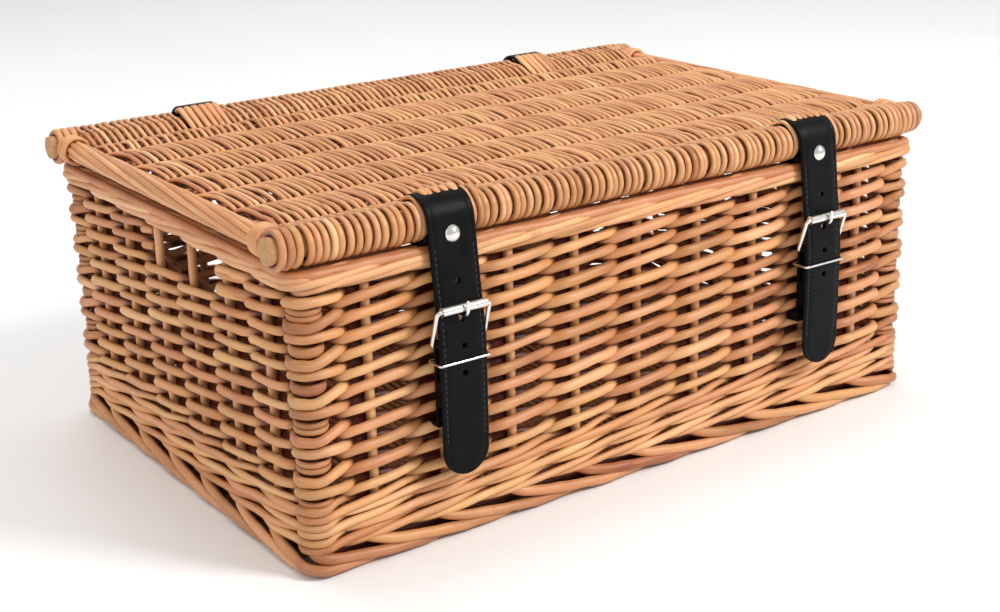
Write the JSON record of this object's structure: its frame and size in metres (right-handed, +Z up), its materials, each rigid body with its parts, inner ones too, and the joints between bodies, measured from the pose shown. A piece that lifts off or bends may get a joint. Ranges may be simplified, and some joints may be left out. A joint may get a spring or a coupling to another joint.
{
  "type": "wicker hamper",
  "caption": "Rectangular woven willow hamper with a hinged lid, hand holes in both ends, and leather straps with roller buckles on the front.",
  "frame": {"origin": "under the middle of the whole part's bounding box, on the floor", "axes": "+X to the right along the front, +Y to the back, where the hinges are, +Z up"},
  "size_m": [0.46, 0.3226, 0.1914],
  "materials": {
    "willow": "satin, buff willow",
    "black_leather": "satin",
    "nickel": "bright nickel plate"
  },
  "bodies": {
    "basket": {"foot_border": "willow", "base_weave": "willow", "base_sticks": "willow", "bottom_wale": "willow", "wall_front": "willow", "wall_back": "willow", "wall_left": "willow", "wall_right": "willow", "stakes_front": "willow", "stakes_back": "willow", "stakes_left": "willow", "stakes_right": "willow", "top_border": "willow", "corner_post_front_left": "willow", "corner_post_front_right": "willow", "corner_post_back_left": "willow", "corner_post_back_right": "willow", "chape_left": "black_leather", "chape_rivet_left": "nickel", "hinge_tab_left": "black_leather", "chape_right": "black_leather", "chape_rivet_right": "nickel", "hinge_tab_right": "black_leather"},
    "lid": {"lid_front_stick": "willow", "lid_back_stick": "willow", "lid_front_wrap": "willow", "lid_back_wrap": "willow", "lid_ribs": "willow", "lid_weave": "willow", "lid_border_left": "willow", "lid_border_right": "willow", "lid_corner_bindings": "willow", "hinge_loop_left": "black_leather", "hinge_loop_right": "black_leather"},
    "strap_left": {"strap_left": "black_leather", "strap_rivet_left": "nickel"},
    "buckle_left": {"buckle_frame_left": "nickel"},
    "roller_left": {"buckle_roller_left": "nickel"},
    "prong_left": {"buckle_prong_left": "nickel"},
    "keeper_left": {"keeper_left": "nickel"},
    "strap_right": {"strap_right": "black_leather", "strap_rivet_right": "nickel"},
    "buckle_right": {"buckle_frame_right": "nickel"},
    "roller_right": {"buckle_roller_right": "nickel"},
    "prong_right": {"buckle_prong_right": "nickel"},
    "keeper_right": {"keeper_right": "nickel"}
  },
  "joints": [
    {"name": "lid_hinge", "type": "hinge", "parent": "basket", "child": "lid", "pos_m": [0, 0.16112, 0.1653], "axis": [-1, 0, 0], "range_deg": [0, 115]},
    {"name": "strap_swing_left", "type": "hinge", "parent": "lid", "child": "strap_left", "pos_m": [-0.131, -0.13398, 0.1775], "axis": [-1, 0, 0], "range_deg": [0, 90], "deforming": ["strap_left"]},
    {"name": "buckle_pivot_left", "type": "hinge", "parent": "basket", "child": "buckle_left", "pos_m": [-0.131, -0.14997, 0.114], "axis": [1, 0, 0], "range_deg": [0, 45]},
    {"name": "prong_pivot_left", "type": "hinge", "parent": "buckle_left", "child": "prong_left", "pos_m": [-0.131, -0.14997, 0.114], "axis": [1, 0, 0], "range_deg": [0, 75]},
    {"name": "roller_spin_left", "type": "hinge", "parent": "buckle_left", "child": "roller_left", "pos_m": [-0.131, -0.15637, 0.134], "axis": [1, 0, 0], "continuous": true},
    {"name": "keeper_slide_left", "type": "slide", "parent": "basket", "child": "keeper_left", "axis": [0, 0, 1], "range_m": [-0.025, 0.002]},
    {"name": "strap_swing_right", "type": "hinge", "parent": "lid", "child": "strap_right", "pos_m": [0.131, -0.13398, 0.1775], "axis": [-1, 0, 0], "range_deg": [0, 90], "deforming": ["strap_right"]},
    {"name": "buckle_pivot_right", "type": "hinge", "parent": "basket", "child": "buckle_right", "pos_m": [0.131, -0.14997, 0.114], "axis": [1, 0, 0], "range_deg": [0, 45]},
    {"name": "prong_pivot_right", "type": "hinge", "parent": "buckle_right", "child": "prong_right", "pos_m": [0.131, -0.14997, 0.114], "axis": [1, 0, 0], "range_deg": [0, 75]},
    {"name": "roller_spin_right", "type": "hinge", "parent": "buckle_right", "child": "roller_right", "pos_m": [0.131, -0.15637, 0.134], "axis": [1, 0, 0], "continuous": true},
    {"name": "keeper_slide_right", "type": "slide", "parent": "basket", "child": "keeper_right", "axis": [0, 0, 1], "range_m": [-0.025, 0.002]}
  ]
}
